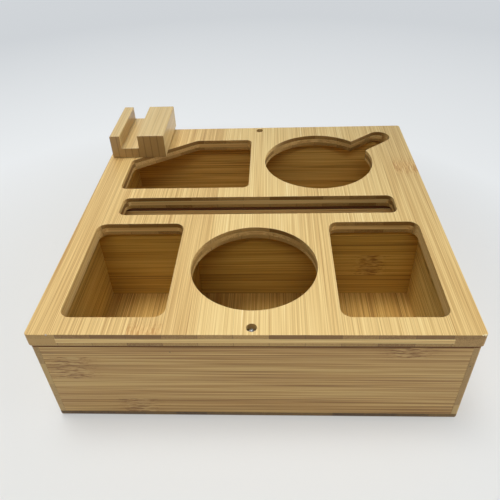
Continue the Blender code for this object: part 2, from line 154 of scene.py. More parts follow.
def carried(outline, profile):
    # the profile carried along the outline: one ring of points for each (inset, height)
    rings = [np.column_stack([inset(outline, i), np.full(len(outline), h)]) for i, h in profile]
    return np.stack(rings)


def gridFaces(rows, columns, first=0, outward=True):
    # quads of a grid of rows that close on themselves
    row, column = np.meshgrid(np.arange(rows - 1), np.arange(columns), indexing="ij")
    here, after = row * columns + column, row * columns + (column + 1) % columns
    quads = np.stack([here, after, after + columns, here + columns], axis=-1).reshape(-1, 4) + first
    return quads if outward else quads[:, ::-1]


def flatFace(loops, indices, upwards):
    # triangles between an outline and its holes. A triangle counts as wood where a line from its
    # middle to the right crosses all the loops together an odd number of times.
    points = np.vstack([loop[:, :2] for loop in loops])
    ends = np.vstack([np.roll(loop[:, :2], -1, axis=0) for loop in loops])
    first = np.cumsum([0] + [len(loop) for loop in loops])
    after = np.concatenate([np.roll(np.arange(a, b), -1) for a, b in zip(first, first[1:])])
    edges = np.column_stack([np.arange(len(points)), after]).tolist()
    filled = delaunay_2d_cdt([Vector(p) for p in points], edges, [], 1, 1e-6)
    origin = np.array([source[0] for source in filled[3]])
    corners = origin[np.array(filled[2])]
    middle = points[corners].mean(axis=1)
    x, y = middle[:, :1], middle[:, 1:]
    straddles = (points[:, 1] > y) != (ends[:, 1] > y)
    rise = np.where(points[:, 1] == ends[:, 1], 1.0, ends[:, 1] - points[:, 1])
    crossing = points[:, 0] + (y - points[:, 1]) * (ends[:, 0] - points[:, 0]) / rise
    wood = (straddles & (x < crossing)).sum(axis=1) % 2 == 1
    triangles = np.concatenate(indices)[corners[wood]]
    return triangles if upwards else triangles[:, ::-1]


def board(outline, profile, holes=(), pockets=()):
    # a flat-faced piece: its outline and its holes are walls of carried rings, and two flat faces
    # close it. Holes and pockets are (outline, profile), and a pocket has its own floor.
    walls = [(outline, profile, "outline")]
    walls += [(*h, "hole") for h in holes] + [(*p, "pocket") for p in pockets]
    points, faces, low, high = [], [], [], []
    first = 0
    for path, heights, kind in walls:
        rings = carried(path, heights)
        rows, columns = rings.shape[:2]
        points.append(rings.reshape(-1, 3))
        faces += gridFaces(rows, columns, first, outward=kind == "outline").tolist()
        lowest = first + np.arange(columns)
        if kind == "pocket":
            faces += flatFace([rings[0]], [lowest], True).tolist()
        else:
            low.append((rings[0], lowest))
        high.append((rings[-1], lowest + (rows - 1) * columns))
        first += rows * columns
    for ends, upwards in ((low, False), (high, True)):
        loops, indices = zip(*ends)
        faces += flatFace(loops, indices, upwards).tolist()
    return np.vstack(points), faces


def makePiece(name, points, faces, look, body, node):
    # points in mm, in the model's frame. A piece without a node is in the scene alone.
    mesh = bpy.data.meshes.new(name)
    mesh.from_pydata((np.asarray(points) / 1000).tolist(), [], faces)
    mesh.validate()
    mesh.shade_smooth()
    mesh.materials.append(look)
    piece = bpy.data.objects.new(name, mesh)
    bpy.context.scene.collection.objects.link(piece)
    even = piece.modifiers.new("even shading on the flats", "WEIGHTED_NORMAL")
    even.keep_sharp = True
    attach(piece, body)
    if node:
        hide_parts(node)


# Materials

def srgb(code):
    # a hex colour as linear red, green, blue and alpha
    parts = [int(code[i:i + 2], 16) / 255 for i in (1, 3, 5)]
    return [*((p / 12.92 if p <= 0.04045 else ((p + 0.055) / 1.055) ** 2.4) for p in parts), 1.0]


def feed(node, inputs):
    # inputs by name or number, as values, sockets, or nodes by their first output
    for key, value in inputs.items():
        if isinstance(value, bpy.types.Node):
            value = value.outputs[0]
        if isinstance(value, bpy.types.NodeSocket):
            node.id_data.links.new(value, node.inputs[key])
        else:
            node.inputs[key].default_value = value


def addNode(tree, kind, *inputs, **settings):
    # one shader node, its kind without "ShaderNode", and after a space its operation where it has
    # one. Its inputs come in order or as a dictionary.
    kind, *operation = kind.split()
    made = tree.nodes.new(f"ShaderNode{kind}")
    if operation:
        made.operation = operation[0]
    for key, value in settings.items():
        setattr(made, key, value)
    byKey = inputs and isinstance(inputs[0], dict)
    feed(made, inputs[0] if byKey else dict(enumerate(inputs)))
    return made


def startMaterial(name):
    # a material with its shader, and addNode for its tree
    made = bpy.data.materials.new(name)
    made.use_nodes = True
    made.node_tree.nodes.clear()
    add = partial(addNode, made.node_tree)
    shader = add("BsdfPrincipled")
    add("OutputMaterial", {"Surface": shader})
    return made, add, shader


# Settings that many nodes share. A Mix node of colours has them at inputs 6 and 7 and at output 2.
smooth = {"interpolation_type": "SMOOTHSTEP"}
inColour = {"data_type": "RGBA"}

# Colours of bamboo along the grain, from a knuckle's darkest fibres to the lightest ones, then the
# sawn ends, which soak up the lacquer and go dull
cutEnds = ("#8A6430", "#B58A48")
plateTones = {
    "along": ("#B98A48", "#D4AE6A", "#E6C480", "#F2D793", "#FAE8BC"), "end": ("#85602A", "#BA9455"),
    "knuckle": "#CC8C40",
}
boardTones = {"along": ("#835B27", "#A77C3F", "#BD9657", "#CFAE6D"), "end": ("#9D7B46", "#BB9A60")}
# Tones inside the box, for the dividers and the boards' inner faces: painted light and shade, set for
# the light that reaches each wall
shadedInsideTones = {"along": ("#7D5722", "#AD8434", "#C59B42", "#D8B35C"), "end": cutEnds}
shadedBackInsideTones = {"along": ("#87602A", "#B99042", "#D2A955", "#E4C271"), "end": cutEnds}
litSideInsideTones = {"along": ("#9A7E42", "#D2B363", "#EBD07A", "#F8E496"), "end": cutEnds}
floorTones = {"along": ("#805722", "#B2863B", "#CC9F4E", "#DFB969"), "end": ("#48300E", "#775820")}
slotTones = {"along": ("#A5804A", "#E0B572", "#F6D086", "#FFE0A0"), "end": cutEnds}
holderTones = {"along": ("#B48B4C", "#CBA766", "#DABB7C", "#E9CF90"), "end": ("#A7834A", "#B08B51")}

grain = {
    "stripWidth": 23.45,  # joints of the top ply, measured on the plate's front edge
    # patterns: size across the fibres, size along them, octaves of finer detail
    "band": (4.2, 320, 1.0),
    "streak": (1.25, 170, 2.0),  # groups of bundles, as they look from a step away
    "fibre": (0.6, 130, 2.0),  # single bundles
    "tick": (1.2, 8.0, 2.0),  # broken fibres at a knuckle
    # tones go from 0, the darkest colour, to 1, the lightest; these are shares of that
    "toneStops": (0.0, 0.28, 0.52, 0.8, 1.0),
    "bandTone": 0.32,
    "streakTone": 0.3,
    "darkStreakTone": -0.11,  # added where the streaks are at their darkest
    "tickTones": (-0.3, 0.34),
    "haloTone": -0.07,  # near a knuckle
    "coreTone": -0.09,  # the cross-laid ply
    "lowPlyTone": 0.12,  # sawn ends, for each ply below the top one
    "endTone": 0.9,  # and how far they differ from strip to strip, both ways
    "endFacing": (0.35, 0.85),  # a face counts as a sawn end from this far turned to the grain
    "darkStreak": (0.36, 0.5),  # noise from the dark middle of a streak to its edge
    "tickEdge": (0.36, 0.64),
    # a knuckle's marks are full up to the first distance from it and gone at the second
    "ridge": (3.0, 17.0),
    "halo": (4.0, 28.0),
    "ragged": (0.45, 2.0, 9.0),  # its line across the strip: noise per mm, octaves, how far it strays
    "swerve": (0.09, 1.0, 1.0),  # the fibres' way round it, the same
    "lean": 0.004,  # steepest slope of a strip's fibres
    "apart": (900.0, 31.7),  # mm between the strips' parts of the patterns, along and through
    "knuckle": "#8E5E28",
    "knuckleShare": 0.3,
    "knuckleSpan": 400.0, "knuckleStrips": 24,  # knuckles lie within this length and so many strips
    "glue": "#5A3C18",
    "glueWidth": 0.3,
    "roughness": (0.56, 0.44),  # of dark and light streaks
    "relief": (0.12, 0.0001),  # strength, and depth in metres
}


def marked(add, place, colour, marks):
    # small spots of another colour at given places (mm), soft at their edges
    for at, radius, shade in marks:
        near = add("VectorMath DISTANCE", place, at).outputs["Value"]
        near = add("MapRange", near, radius / 2, radius, 0.8, 0.0, **smooth)
        colour = add("Mix", {0: near, 6: colour, 7: srgb(shade)}, **inColour).outputs[2]
    return colour


def bambooMaterial(name, along, across, start, knuckles, seed, tones, insideOf=None, core=None,
                   marks=(), stripWidth=grain["stripWidth"], glueWidth=grain["glueWidth"],
                   glueShare=0.16, glueOnEnds=1.4, lacquer=(0.1, 0.3), contrast=1.6, fibres=1.2,
                   toneSeed=None, toneRange=(0.44, 0.58)):
    # Lacquered bamboo, pressed from split strips. The eye sees straight fibres along each strip, a
    # slight change of tone from strip to strip, knuckles where the cane was jointed, and duller ends.
    # Strip 0 begins at start on the axis across the grain. knuckles gives the place along a strip by
    # the strip's number, and insideOf the test and level of the faces inside the box, with their
    # tones. The seeds are draws whose dark and light strips fall as on the real boards.
    # The inside tones paint the light and shade inside the box.
    look, add, shader = startMaterial(name)
    texture = add("TexCoord")
    place = add("VectorMath SCALE", {0: texture.outputs["Object"], 3: 1000.0})
    axes = add("SeparateXYZ", place)
    facing = add("SeparateXYZ", texture.outputs["Normal"])
    long, wide = "xyz".index(along), "xyz".index(across)
    lengthwise, sideways, through = (axes.outputs[axis] for axis in (long, wide, 3 - long - wide))
    endwise, edgewise = facing.outputs[long], facing.outputs[wide]
    ply = layer = 0.0

    if core:
        # the sheet's middle ply lies the other way, between border strips that don't
        ply = add("Math SUBTRACT", through, core["low"])
        ply = add("Math FLOOR", add("Math DIVIDE", ply, core["thickness"]))
        middle = add("Math COMPARE", ply, 0.0, 0.5)
        within = add("Math LESS_THAN", add("Math ABSOLUTE", sideways), core["reach"])
        turned = add("Math MULTIPLY", middle, within)
        lengthwise, sideways, endwise = (
            add("Mix", {0: turned, 2: flatWay, 3: crossWay}) for flatWay, crossWay in (
                (lengthwise, sideways), (sideways, lengthwise), (endwise, edgewise))
        )
        # the border strips are as thick as the whole sheet, so they draw as one ply
        layer = add("Math ADD", ply, add("Math SUBTRACT", middle, turned))
        below = add("Math SUBTRACT", 1.0, ply)
        onTop = add("Math GREATER_THAN", ply, 0.5)

    # which strip this is, how far its nearest joint lies, and its three random numbers
    shifted = add("Math SUBTRACT", sideways, start)
    strip = add("Math FLOOR", add("Math DIVIDE", shifted, stripWidth))
    toJoint = add("Math PINGPONG", shifted, stripWidth / 2)
    chance = add("TexWhiteNoise", add("CombineXYZ", strip, layer, seed))
    draws = add("SeparateColor", chance.outputs["Color"])

    # the strip's knuckle: a constant ramp gives its place along the strip, alpha 0 means none
    span, count = grain["knuckleSpan"], grain["knuckleStrips"]
    half = 0.5 / count
    number = add("MapRange", strip, -count / 2, count / 2, half, 1 + half)
    knots = add("ValToRGB", number)
    stops = knots.color_ramp.elements
    knots.color_ramp.interpolation = "CONSTANT"
    stops.remove(stops[1])
    stops[0].color = (0, 0, 0, 0)
    for index, at in sorted(knuckles.items()):
        stops.new((index + count / 2) / count).color = [(at + span / 2) / span] * 3 + [1.0]
        if index + 1 not in knuckles:
            stops.new((index + 1 + count / 2) / count).color = (0, 0, 0, 0)
    knot = add("MapRange", {0: knots, 3: -span / 2, 4: span / 2})
    hasKnot = knots.outputs["Alpha"]
    if core:
        hasKnot = add("Math MULTIPLY", onTop, hasKnot)
    fromKnot = add("Math SUBTRACT", lengthwise, knot)
    strays = []
    for scale, detail, reach in (grain["ragged"], grain["swerve"]):
        noise = add("TexNoise", {"Vector": place, "Scale": scale, "Detail": detail})
        strays.append(add("MapRange", {0: noise, 3: -reach, 4: reach}))
    ragged, swerve = strays
    fromKnot = add("Math ABSOLUTE", add("Math ADD", fromKnot, ragged))
    halo, ridge = (
        add("Math MULTIPLY", add("MapRange", fromKnot, near, far, 1.0, 0.0, **smooth), hasKnot)
        for near, far in (grain["halo"], grain["ridge"])
    )

    # fibres swerve round the knuckle, and elsewhere lean a little, each strip its own way
    swerve = add("Math MULTIPLY", swerve, halo)
    lean = add("MapRange", {0: draws.outputs[1], 3: -grain["lean"], 4: grain["lean"]})
    bent = add("Math MULTIPLY_ADD", lengthwise, lean, swerve)
    bent = add("Math ADD", bent, sideways)
    # each strip has its own part of the patterns, at random along and in order through
    randomly, evenly = grain["apart"]
    moved = add("Math MULTIPLY_ADD", draws.outputs[0], randomly, lengthwise)
    layered = add("Math MULTIPLY_ADD", strip, evenly, through)
    fibreSpace = add("CombineXYZ", moved, bent, layered)
    patterns = {}
    for kind in ("band", "streak", "fibre", "tick"):
        pitch, length, detail = grain[kind]
        perSize = (1 / length, 1 / pitch, 1 / pitch)
        drawn = add("VectorMath MULTIPLY", fibreSpace, perSize)
        noise = {"Vector": drawn, "Scale": 1.0, "Detail": detail, "Roughness": 0.55}
        patterns[kind] = add("TexNoise", noise)

    # tone: 0.5 is the base. The strip's own tone, broad bands, dark streaks, fine fibres and, at a
    # knuckle, stronger streaks and short ticks, dark and light
    ownTone = draws.outputs[2]
    if toneSeed:
        ownTone = add("TexWhiteNoise", add("CombineXYZ", strip, ply, toneSeed))
    total = add("MapRange", {0: ownTone, 3: toneRange[0], 4: toneRange[1]})
    darkest = grain["darkStreakTone"] * contrast
    lines = add("MapRange", patterns["streak"], *grain["darkStreak"], darkest, 0.0, **smooth)
    strength = add("Math MULTIPLY_ADD", halo, 0.7, 1.0)
    total = add("Math MULTIPLY_ADD", lines, strength, total)
    total = add("Math MULTIPLY_ADD", halo, grain["haloTone"], total)
    shares = {"band": grain["bandTone"], "streak": grain["streakTone"], "fibre": fibres}
    for kind, share in shares.items():
        amount = share * contrast
        spread = add("MapRange", {0: patterns[kind], 3: -amount / 2, 4: amount / 2})
        total = add("Math ADD", total, spread)
    dark, light = (tone * contrast for tone in grain["tickTones"])
    ticks = add("MapRange", patterns["tick"], *grain["tickEdge"], dark, light, **smooth)
    total = add("Math MULTIPLY_ADD", ticks, ridge, total)

    # sawn ends: speckled with cut vessels, and each strip its own tone
    endTone = add("MapRange", {0: draws.outputs[1], 3: -grain["endTone"], 4: grain["endTone"]})
    endTone = add("Math ADD", endTone, total)
    if core:
        endTone = add("Math MULTIPLY_ADD", below, grain["lowPlyTone"], endTone)
        total = add("Math MULTIPLY_ADD", turned, grain["coreTone"], total)
    onEnd = add("MapRange", add("Math ABSOLUTE", endwise), *grain["endFacing"], **smooth)

    painted = []
    for shades in [tones, insideOf[2]] if insideOf else [tones]:
        ramp = add("ValToRGB", total)
        stops = ramp.color_ramp.elements
        stops.remove(stops[1])
        for at, shade in zip(grain["toneStops"], shades["along"]):
            stop = stops.new(at) if at else stops[0]
            stop.color = srgb(shade)
        dark, light = (srgb(shade) for shade in shades["end"])
        ends = add("Mix", {0: endTone, 6: dark, 7: light}, **inColour).outputs[2]
        painted.append(add("Mix", {0: onEnd, 6: ramp, 7: ends}, **inColour).outputs[2])
    colour = painted[0]
    if insideOf:
        # painted light and shade: the inside faces get tones of their own for the light that reaches
        # them
        inside = add(f"Math {insideOf[0]}", through, insideOf[1])
        colour = add("Mix", {0: inside, 6: painted[0], 7: painted[1]}, **inColour).outputs[2]

    tint = add("MapRange", {0: onEnd, 3: grain["knuckleShare"], 4: 0.0})
    tint = add("Math MULTIPLY", ridge, tint)
    shade = srgb(tones.get("knuckle", grain["knuckle"]))
    colour = add("Mix", {0: tint, 6: colour, 7: shade}, **inColour).outputs[2]
    glue = add("MapRange", toJoint, glueWidth / 4, glueWidth, glueShare, 0.0, **smooth)
    stronger = add("Math MULTIPLY_ADD", onEnd, glueOnEnds - 1, 1.0)
    glue = add("Math MULTIPLY", glue, stronger)
    colour = add("Mix", {0: glue, 6: colour, 7: srgb(grain["glue"])}, **inColour).outputs[2]
    colour = marked(add, place, colour, marks)

    # satin lacquer over open grain
    dark, light = grain["roughness"]
    rough = add("MapRange", patterns["streak"], 0.2, 0.8, dark, light)
    height = add("Math ADD", patterns["fibre"], patterns["streak"])
    strength, depth = grain["relief"]
    bump = add("Bump", {"Strength": strength, "Distance": depth, "Height": height})
    feed(shader, {"Base Color": colour, "Roughness": rough, "Normal": bump})
    feed(shader, {"Coat Weight": lacquer[0], "Coat Roughness": lacquer[1]})
    return look


def shadowStripMaterial():
    # A dark matt strip of painted shade. The eye sees a dark line under the plate and nothing else of
    # it.
    look, _, shader = startMaterial("painted shadow strip")
    feed(shader, {"Base Color": srgb("#6E4624"), "Roughness": 0.95})
    return look


def metalMaterial(name, colour, roughness, marks=()):
    # Zinc-plated steel or turned brass: bright, with fine tool marks that soften the highlight and,
    # in the recesses of the plate's screws, painted shade
    look, add, shader = startMaterial(name)
    texture = add("TexCoord")
    place = add("VectorMath SCALE", {0: texture.outputs["Object"], 3: 1000.0})
    tooled = add("TexNoise", {"Vector": place, "Scale": 2.5, "Detail": 2.0})
    smoothest, roughest = roughness - 0.05, roughness + 0.08
    rough = add("MapRange", tooled, 0.3, 0.7, smoothest, roughest)
    feed(shader, {"Base Color": srgb(colour), "Roughness": rough, "Metallic": 1.0})
    if marks:
        feed(shader, {"Base Color": marked(add, place, srgb(colour), marks)})
    return look


boxX, boxY = sideHigh[0], sideHigh[1]
innerX, innerY = sideLow[0], -frontHigh[1]
innerSkin = 0.3  # this much of a board's thickness counts as its inner face
plyThickness = (plateHigh[2] - plateLow[2]) / 3

plateLook = bambooMaterial(
    "lacquered bamboo three-ply sheet", "y", "x", 11.5, {-4: -154.0, 5: 62.0}, 92.418, plateTones,
    core={"low": plateLow[2] + plyThickness, "thickness": plyThickness, "reach": 130.0},
    marks=[
        ((146.4, -150.0, 91.6), 0.8, "#F3E3B4"), ((148.2, -149.7, 91.6), 1.3, "#F3E3B4"),
        ((147.2, -150.0, 90.4), 0.7, "#7A6038"), ((149.5, -149.6, 90.7), 1.2, "#5C4424"),
        ((-134.8, -150.0, 91.4), 0.9, "#A7A2A8"),
        # painted shade deep in the counterbores
        ((0.0, -143.5, 84.0), 6.6, "#35220C"), ((0.0, 143.5, 84.0), 6.6, "#35220C"),
    ],
    glueOnEnds=3.8, contrast=1.05, fibres=1.5, toneSeed=16.3815, toneRange=(0.3, 0.62),
)
frontLook = bambooMaterial(
    "lacquered bamboo front board", "x", "z", 21.2, {1: -126.0, -1: -86.0, 2: 104.0}, 2.0, boardTones,
    insideOf=("GREATER_THAN", -innerY - innerSkin, shadedInsideTones),
    marks=[((-55.2, -149.0, 73.5), 0.8, "#6E5A38")],
)
backLook = bambooMaterial(
    "lacquered bamboo back board", "x", "z", 18.0, {-1: 40.0, 2: 132.0}, 3.0, boardTones,
    insideOf=("LESS_THAN", innerY + innerSkin, shadedBackInsideTones),
)
leftLook = bambooMaterial(
    "lacquered bamboo left board", "y", "z", 14.0, {1: 20.0}, 4.0, boardTones,
    insideOf=("GREATER_THAN", -innerX - innerSkin, litSideInsideTones),
)
rightLook = bambooMaterial(
    "lacquered bamboo right board", "y", "z", 16.4, {0: 75.0, 2: -60.0}, 5.0, boardTones,
    insideOf=("LESS_THAN", innerX + innerSkin, litSideInsideTones),
    marks=[((145.7, -149.0, 59.7), 0.8, "#5E5334")],
)
floorLook = bambooMaterial(
    "lacquered bamboo floor board", "y", "x", 10.8, {-3: 30.0, 4: -80.0}, 40.882, floorTones,
    contrast=1.1, fibres=1.8,
)
# the dividers take the inside tones, which paint the shade in the wells
crossLook = bambooMaterial(
    "bamboo cross divider", "x", "z", 27.6, {0: 100.0}, 7.0, shadedInsideTones, fibres=0.75,
)
slotLook = bambooMaterial("bamboo slot divider", "x", "z", 12.4, {}, 7.5, slotTones, fibres=0.4)
runLook = bambooMaterial(
    "bamboo lengthwise divider", "y", "z", 20.0, {}, 8.0, shadedInsideTones, fibres=0.75,
)
holderLook = bambooMaterial(
    "sanded laminated bamboo bar", "y", "x", holderLow[0], {}, 51.097, holderTones,
    stripWidth=(holderHigh[0] - holderLow[0]) / 8, glueWidth=0.8, glueShare=0.13, glueOnEnds=3.2,
    lacquer=(0.4, 0.2), contrast=0.9, fibres=0.7,
)
shadowStripLook = shadowStripMaterial()
# the dark spots in the recesses of the plate screws' heads are painted shade
steelLook = metalMaterial(
    "zinc plated steel", "#D4D4D0", 0.22, [((0.3, y, 87.5), 1.7, "#0C0A08") for y in (-142.4, 144.6)],
)
brassLook = metalMaterial("turned brass", "#D2B26A", 0.3)
print("materials made")


# The box

wallBase = sideLow[2] - closeUp
wallTop = plateLow[2] - joint["plateGap"]
dividerThickness = cupDividerHigh[0] - cupDividerLow[0]
lipX = frontHigh[0] + joint["solidSeam"]  # where the side board's lip ends
slotDividers = {
    "front": (slotFrontLow[1] + slotFrontHigh[1]) / 2,
    "rear": (slotRearLow[1] + slotRearHigh[1]) / 2,
}
cupDividerX = (cupDividerLow[0] + cupDividerHigh[0]) / 2
rearDividerX = (rearDividerLow[0] + rearDividerHigh[0]) / 2


def housing(centre, face, depth):
    # four corners of the housing for a divider's end: (place along the face, level)
    half = dividerThickness / 2 + joint["seam"]
    near, far = centre - half, centre + half
    return [(near, face), (near, face + depth), (far, face + depth), (far, face)]


shadowStrips = []  # dark strips of painted shade under the plate: (outline, level of the wood under it, holes)
outer, inner = joint["corner"], joint["inner"]
housingRadii = [outer, inner, inner, outer]
boardProfile = edgeProfile(wallBase, wallTop, joint["arris"], joint["arris"])


def housedBoard(end, face, back, centres, depth):
    # a board along X, with a housing at each centre in its face towards -Y
    housed = sum([housing(centre, face, depth) for centre in centres], [])
    corners = [(-end, face), *housed, (end, face), (end, back), (-end, back)]
    return rounded(corners, [outer] + housingRadii * len(centres) + [outer] * 3)


def sideBoards():
    shoulder = innerY - joint["seam"]
    corners = [(boxX, -boxY), (boxX, boxY), (lipX, boxY), (lipX, shoulder), (innerX, shoulder)]
    radii = [joint["boxCorner"], joint["boxCorner"], outer, inner, outer]
    for centre in (slotDividers["rear"], slotDividers["front"]):
        ends = housing(centre, innerX, joint["boardHousing"])
        corners += [(level, along) for along, level in ends[::-1]]
        radii += housingRadii
    corners += [(innerX, -shoulder), (lipX, -shoulder), (lipX, -boxY)]
    radii += [outer, inner, outer]
    outline = rounded(corners, radii)
    for name, path, look in (
        ("right_side", outline, rightLook), ("left_side", mirrored(outline), leftLook),
    ):
        points, faces = board(path, boardProfile)
        shadowStrips.append((path, wallTop, []))
        makePiece(name, points, faces, look, "tray", f"{name}_board")


def endBoards():
    end = lipX - joint["seam"]
    for name, sign, centres, look in (
        ("front", -1, (-cupDividerX, cupDividerX), frontLook),
        ("back", 1, (rearDividerX,), backLook),
    ):
        # drawn as the back board, and turned over for the front
        outline = housedBoard(end, innerY, boxY, centres, joint["boardHousing"])
        if sign < 0:
            outline = (outline * (1, -1))[::-1]
        hole = ring((0, sign * (innerY + boxY) / 2), joint["pilotRadius"], steps=24)
        depths = [(0, wallTop - joint["pilotDepth"]), (0, wallTop)]
        points, faces = board(outline, boardProfile, pockets=[(hole, depths)])
        shadowStrips.append((outline, wallTop, [hole]))
        makePiece(f"{name}_end", points, faces, look, "tray", f"{name}_board")


def floorBoard():
    outline = rounded(rectangle(*floorLow[:2], *floorHigh[:2]), joint["boxCorner"], steps=10)
    profile = edgeProfile(floorLow[2], floorHigh[2] + closeUp, joint["floorEdge"], joint["arris"])
    points, faces = board(outline, profile)
    makePiece("floor", points, faces, floorLook, "tray", "floor_board")


def dividers():
    half = dividerThickness / 2
    deep = joint["dividerHousing"]
    end = innerX + joint["boardHousing"] - joint["seam"]
    cups = (-cupDividerX, cupDividerX)
    for name, y, sign, centres, look, gap in (
        ("slot_front_divider", slotDividers["front"], -1, cups, crossLook, "plateGap"),
        ("slot_rear_divider", slotDividers["rear"], 1, (rearDividerX,), slotLook, "rearGap"),
    ):
        # drawn with its housed face towards -Y, and turned over for the rear divider
        outline = housedBoard(end, -half, half, [centre * -sign for centre in centres], deep)
        outline = outline * (-sign, -sign) + (0, y)
        top = plateLow[2] - joint[gap]
        points, faces = board(outline, edgeProfile(wallBase, top, joint["arris"], joint["arris"]))
        shadowStrips.append((outline, top, []))
        makePiece(f"{name}_lath", points, faces, look, "tray", name)
    outerEnd = innerY + joint["boardHousing"] - joint["seam"]
    intoFront = slotFrontLow[1] + deep - joint["seam"]
    intoRear = slotRearHigh[1] - deep + joint["seam"]
    for name, x, front, rear in (
        ("cup_divider_left", -cupDividerX, -outerEnd, intoFront),
        ("cup_divider_right", cupDividerX, -outerEnd, intoFront),
        ("rear_middle_divider", rearDividerX, intoRear, outerEnd),
    ):
        outline = rounded(rectangle(x - half, front, x + half, rear), outer)
        points, faces = board(outline, boardProfile)
        shadowStrips.append((outline, wallTop, []))
        makePiece(f"{name}_lath", points, faces, runLook, "tray", name)


def plateShadowStrips():
    # dark strips between the boards and the plate, all in one piece: painted shade in the gap under
    # the plate
    back, seam = joint["shadowStripBack"], joint["seam"] / 2
    points, faces = [], []
    count = 0
    for outline, top, holes in shadowStrips:
        low, high = top + seam, plateLow[2] - seam
        around = [(hole, [(0, low), (0, high)]) for hole in holes]
        more, closed = board(outline, [(back, low), (back, high)], around)
        points.append(more)
        faces += [[index + count for index in face] for face in closed]
        count += len(more)
    makePiece("plate_shadow_strip", np.vstack(points), faces, shadowStripLook, "tray", None)


floorBoard()
sideBoards()
endBoards()
dividers()
plateShadowStrips()
print("box made")


# The plate

# A lip is how far the plate reaches over a well from the wall or divider that its name gives.
plate = {
    "cornerRadius": 2.5, "lowerArris": 1.5, "upperArris": 0.4, "cutLowerArris": 1.1, "cutArris": 0.3,
    "slotWidth": 26.2, "slotCentre": -0.6, "slotEndLip": 19.3, "slotRadius": 6.0,
    "cupRadius": 47.3,
    "frontSideLip": 6.1, "frontDividerLip": 0.8, "frontLip": 4.0, "frontRearLip": 6.7,
    "frontRadius": 8.0,
    "mugRadius": 51.9, "mugSideLip": 27.7, "mugForward": 1.35,
    "handleRadius": 11.2, "handleAngle": math.radians(39.7),
    "handleSideLip": 2.7, "handleRearLip": 2.5,
    "rearStrip": 14.5,  # wood between the mug hole and the rear opening
    "rearSideLip": 11.7, "rearFrontLip": 9.4, "rearRearLip": 16.3,
    "rearChamferX": 61.3, "rearChamferY": 40.7, "rearRadius": 6.0,
    "screwBore": 3.6, "screwDepth": 6.5, "screwPilot": 2.05, "ledgeArris": 0.05, "boreArris": 0.15,
    "pivotBore": 3.0, "pivotCounterbore": 7.0,
}


def cutOuts():
    p = plate
    frontRear = slotFrontLow[1]
    rearFront = slotRearHigh[1]
    well = rounded(rectangle(
        cupDividerHigh[0] + p["frontDividerLip"], -innerY + p["frontLip"],
        innerX - p["frontSideLip"], frontRear - p["frontRearLip"],
    ), p["frontRadius"], steps=12)
    cupY = (frontRear - p["frontRearLip"] - innerY + p["frontLip"]) / 2
    cup = ring((0, cupY), p["cupRadius"], steps=144)
    slotEnd, slotHalf = innerX - p["slotEndLip"], p["slotWidth"] / 2
    slot = rounded(rectangle(
        -slotEnd, p["slotCentre"] - slotHalf, slotEnd, p["slotCentre"] + slotHalf,
    ), p["slotRadius"], steps=12)

    # the mug hole and its handle slot: a large arc and a small one, joined by the slot's sides
    mugRadius, handleRadius, angle = p["mugRadius"], p["handleRadius"], p["handleAngle"]
    mug = np.array([innerX - p["mugSideLip"] - mugRadius, (rearFront + innerY) / 2 - p["mugForward"]])
    end = np.array([innerX - p["handleSideLip"], innerY - p["handleRearLip"]]) - handleRadius
    across = np.array([-math.sin(angle), math.cos(angle)])
    offset = (end - mug) @ across
    meets = [angle + math.asin((offset + side * handleRadius) / mugRadius) for side in (-1, 1)]
    quarter = math.pi / 2
    mugHole = np.vstack([
        arc(mug, mugRadius, meets[1], meets[0] + 2 * math.pi, steps=130),
        arc(end, handleRadius, angle - quarter, angle + quarter, steps=30),
    ])

    left = -innerX + p["rearSideLip"]
    right = mug[0] - mugRadius - p["rearStrip"]
    front = rearFront + p["rearFrontLip"]
    rear = innerY - p["rearRearLip"]
    rearWell = rounded([
        (left, front), (right, front), (right, rear),
        (left + p["rearChamferX"], rear), (left, rear - p["rearChamferY"]),
    ], p["rearRadius"], steps=12)
    return [well, mirrored(well), cup, slot, mugHole, rearWell]


def topPlate():
    p = plate
    low, high = plateLow[2], plateHigh[2]
    outline = rounded(rectangle(*plateLow[:2], *plateHigh[:2]), p["cornerRadius"], steps=12)
    cut = edgeProfile(low, high, p["cutLowerArris"], p["cutArris"], sign=-1)
    holes = [(path, cut) for path in cutOuts()]

    # counterbored screw holes: the narrow part, the ledge under the head, then the wide part
    ledge = high - p["screwDepth"]
    wide = p["screwBore"] - p["screwPilot"]
    profile = [
        (0, low), (0, ledge - p["ledgeArris"]), (-p["ledgeArris"], ledge), (-wide, ledge),
        (-wide, high - p["boreArris"]), (-wide - p["boreArris"], high),
    ]
    for sign in (-1, 1):
        holes.append((ring((0, sign * (innerY + boxY) / 2), p["screwPilot"], steps=48), profile))

    # the pivot's hole is wide below, for its washers, and narrow above
    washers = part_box("pivot_flat_washer")[1].z * 1000 + joint["solidSeam"]
    wide = p["pivotCounterbore"] - p["pivotBore"]
    profile = [(-wide, low), (-wide, washers), (0, washers), (0, high)]
    holes.append((ring(pivot[:2], p["pivotBore"], steps=48), profile))
    points, faces = board(outline, edgeProfile(low, high, p["lowerArris"], p["upperArris"]), holes)
    makePiece("plate", points, faces, plateLook, "tray", "top_plate")


topPlate()
print("plate made")


# The phone holder

holder = {
    "wall": 10.0, "slot": 17.5, "slotFloor": 10.2,
    "cornerRadius": 1.2, "slotArris": 0.5, "slotInner": 0.3, "endArris": 0.4, "cornerSteps": 8,
    "holeSpare": 0.5,  # how far the insert's hole goes on past it
}


